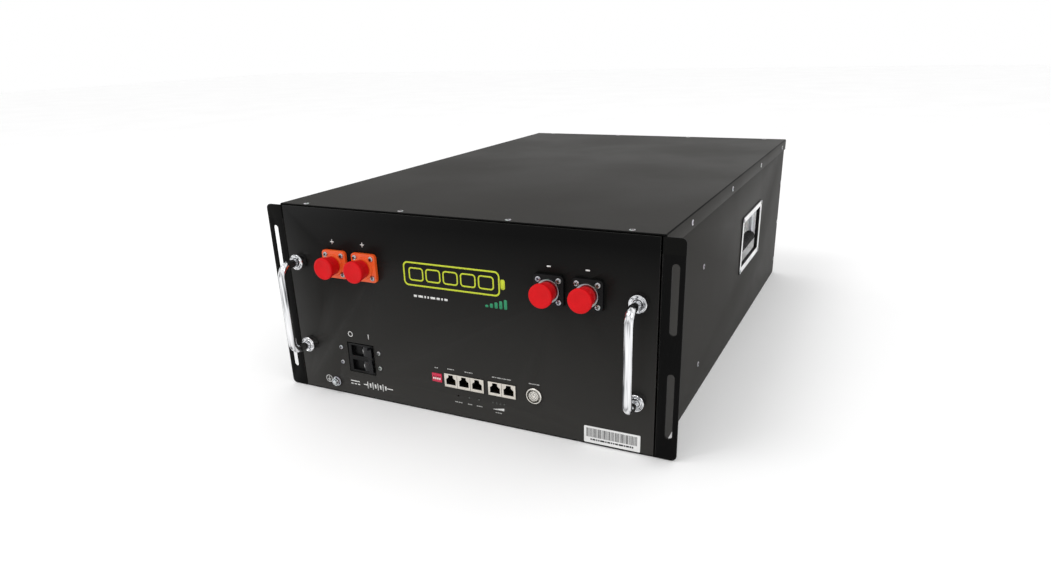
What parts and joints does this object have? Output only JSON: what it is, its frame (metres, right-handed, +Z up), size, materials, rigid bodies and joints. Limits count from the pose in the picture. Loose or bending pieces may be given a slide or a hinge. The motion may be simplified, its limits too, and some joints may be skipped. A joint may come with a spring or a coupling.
{
  "type": "rack battery module",
  "caption": "Five-unit 19 inch rack battery: folded steel case with ears, capped power sockets, breaker, data ports, push buttons and fold-out lifting handles.",
  "frame": {"origin": "middle of the footprint of the whole object, on the surface that the case's base rests on", "axes": "-Y is the front panel's outward direction, +Y runs to the rear, +X to the right seen from the front, +Z up"},
  "size_m": [0.4826, 0.7226, 0.2238],
  "materials": {
    "case_coat": "fine textured dark grey powder coat, satin",
    "panel_coat": "fine textured near-black powder coat, satin",
    "zinc_plate": "zinc plated pressed steel",
    "handle_chrome": "polished chrome plate",
    "button_steel": "turned stainless steel, fine satin",
    "positive_orange": "moulded orange plastic, satin",
    "negative_black": "moulded black plastic, satin",
    "cap_red": "soft moulded red plastic, matt",
    "breaker_black": "moulded black thermoset, satin",
    "port_ivory": "moulded off-white plastic",
    "switch_pink": "moulded pinkish red plastic",
    "slider_white": "moulded white plastic",
    "board_green": "green solder mask",
    "heat_aluminium": "extruded aluminium",
    "cell_blue": "blue film over a drawn aluminium can",
    "bar_copper": "tinned copper bar",
    "insulation_sheet": "epoxy glass sheet",
    "label_white": "printed white polyester label",
    "grip_rubber": "moulded rubber",
    "light_smoke": "smoked clear lens, unlit"
  },
  "bodies": {
    "case": {"case_body": "case_coat", "lid": "case_coat", "front_panel": "panel_coat", "rear_panel": "case_coat", "bulkhead": "zinc_plate", "positive_socket_1": "positive_orange", "positive_socket_2": "positive_orange", "negative_socket_1": "negative_black", "negative_socket_2": "negative_black", "positive_bus_bar": "bar_copper", "negative_bus_bar": "bar_copper", "breaker_body": "breaker_black", "port_block_triple": "port_ivory", "port_block_double": "port_ivory", "address_switch": "switch_pink", "power_button_housing": "button_steel", "power_button_nut": "zinc_plate", "interface_board": "board_green", "run_light": "light_smoke", "alarm_light": "light_smoke", "charge_light_pipe": "light_smoke", "earth_stud": "zinc_plate", "earth_nut": "zinc_plate", "serial_label": "label_white", "front_handle_left": "handle_chrome", "ferrule_left_lower": "handle_chrome", "ferrule_left_upper": "handle_chrome", "front_handle_right": "handle_chrome", "ferrule_right_lower": "handle_chrome", "ferrule_right_upper": "handle_chrome", "side_handle_dish_left": "zinc_plate", "side_handle_dish_right": "zinc_plate", "cell_row_left": "cell_blue", "cell_row_right": "cell_blue", "cell_floor_sheet": "insulation_sheet", "cell_row_spacer": "insulation_sheet", "end_plate_front": "heat_aluminium", "end_plate_rear": "heat_aluminium", "tie_strap_left": "zinc_plate", "tie_strap_right": "zinc_plate", "cell_link_tray": "breaker_black", "management_board": "board_green", "heat_sink": "heat_aluminium"},
    "dust_cap_1": {"dust_cap_1": "cap_red"},
    "dust_cap_2": {"dust_cap_2": "cap_red"},
    "dust_cap_3": {"dust_cap_3": "cap_red"},
    "dust_cap_4": {"dust_cap_4": "cap_red"},
    "breaker_lever": {"breaker_lever": "breaker_black"},
    "power_button": {"power_button_cap": "button_steel"},
    "reset_button": {"reset_button": "breaker_black"},
    "address_slider_1": {"address_slider_1": "slider_white"},
    "address_slider_2": {"address_slider_2": "slider_white"},
    "address_slider_3": {"address_slider_3": "slider_white"},
    "address_slider_4": {"address_slider_4": "slider_white"},
    "side_handle_left": {"side_handle_bail_left": "zinc_plate", "side_handle_grip_left": "grip_rubber"},
    "side_handle_right": {"side_handle_bail_right": "zinc_plate", "side_handle_grip_right": "grip_rubber"}
  },
  "joints": [
    {"name": "dust_cap_1_pull", "type": "slide", "parent": "case", "child": "dust_cap_1", "axis": [0, -1, 0], "range_m": [0, 0.04]},
    {"name": "dust_cap_2_pull", "type": "slide", "parent": "case", "child": "dust_cap_2", "axis": [0, -1, 0], "range_m": [0, 0.04]},
    {"name": "dust_cap_3_pull", "type": "slide", "parent": "case", "child": "dust_cap_3", "axis": [0, -1, 0], "range_m": [0, 0.04]},
    {"name": "dust_cap_4_pull", "type": "slide", "parent": "case", "child": "dust_cap_4", "axis": [0, -1, 0], "range_m": [0, 0.04]},
    {"name": "breaker_lever_turn", "type": "hinge", "parent": "case", "child": "breaker_lever", "pos_m": [-0.125, -0.31475, 0.0492], "axis": [0, 0, -1], "range_deg": [0, 72]},
    {"name": "power_button_press", "type": "slide", "parent": "case", "child": "power_button", "axis": [0, 1, 0], "range_m": [0, 0.002], "stiffness_N_per_m": 600},
    {"name": "reset_button_press", "type": "slide", "parent": "case", "child": "reset_button", "axis": [0, 1, 0], "range_m": [0, 0.0003], "stiffness_N_per_m": 1500},
    {"name": "address_slider_1_slide", "type": "slide", "parent": "case", "child": "address_slider_1", "axis": [0, 0, 1], "range_m": [0, 0.0019]},
    {"name": "address_slider_2_slide", "type": "slide", "parent": "case", "child": "address_slider_2", "axis": [0, 0, 1], "range_m": [0, 0.0019]},
    {"name": "address_slider_3_slide", "type": "slide", "parent": "case", "child": "address_slider_3", "axis": [0, 0, 1], "range_m": [0, 0.0019]},
    {"name": "address_slider_4_slide", "type": "slide", "parent": "case", "child": "address_slider_4", "axis": [0, 0, 1], "range_m": [0, 0.0019]},
    {"name": "side_handle_left_fold", "type": "hinge", "parent": "case", "child": "side_handle_left", "pos_m": [-0.2125, 0.10975, 0.144], "axis": [0, 1, 0], "range_deg": [0, 90]},
    {"name": "side_handle_right_fold", "type": "hinge", "parent": "case", "child": "side_handle_right", "pos_m": [0.2125, 0.10975, 0.144], "axis": [0, -1, 0], "range_deg": [0, 90]}
  ]
}
